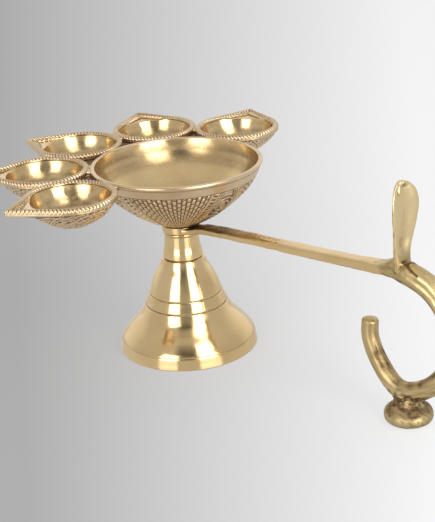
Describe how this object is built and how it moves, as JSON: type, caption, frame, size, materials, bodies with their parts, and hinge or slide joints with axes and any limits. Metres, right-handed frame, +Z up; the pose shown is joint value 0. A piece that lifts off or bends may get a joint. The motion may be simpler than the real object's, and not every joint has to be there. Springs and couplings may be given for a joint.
{
  "type": "hand-held wick lamp",
  "caption": "Brass hand-held aarti lamp: a central bowl and a fan of pointed wick cups on a turned bell foot, with a flat handle, thumb leaf and finger loop.",
  "frame": {"origin": "on the ground, on the bell foot's axis", "axes": "+Z up along the bell's axis; +X along the handle, away from the bowl; +Y to the left of someone looking along +X"},
  "size_m": [0.242, 0.1739, 0.103],
  "materials": {
    "polished_brass": "polished cast and turned brass, lightly toned, with darkened engraving",
    "cast_brass": "hand-filed cast brass with braze and dark hollows",
    "hardware_brass": "plain machined brass, unpolished"
  },
  "bodies": {
    "foot": {"bell_foot": "polished_brass", "neck_sleeve": "polished_brass", "bell_washer": "hardware_brass", "clamp_nut": "hardware_brass"},
    "handle": {"handle_bar": "polished_brass", "finger_loop": "cast_brass", "thumb_leaf": "polished_brass", "button_foot": "cast_brass"},
    "lift": {"seat_washer": "hardware_brass"},
    "head": {"bowl": "polished_brass", "cup_1": "polished_brass", "cup_2": "polished_brass", "cup_3": "polished_brass", "cup_4": "polished_brass", "cup_5": "polished_brass", "cup_webs": "cast_brass", "clamp_stud": "hardware_brass"}
  },
  "joints": [
    {"name": "handle_swivel", "type": "hinge", "parent": "foot", "child": "handle", "pos_m": [0, 0, 0.0587], "axis": [0, 0, 1], "continuous": true},
    {"name": "bowl_lift", "type": "slide", "parent": "foot", "child": "lift", "axis": [0, 0, 1], "range_m": [0, 0.00752]},
    {"name": "bowl_turn", "type": "hinge", "parent": "lift", "child": "head", "pos_m": [0, 0, 0.061], "axis": [0, 0, 1], "range_deg": [0, 2160]}
  ],
  "couplings": [
    {"joint": "bowl_lift", "follows": "bowl_turn", "m_per_rad": 0.00019894}
  ]
}
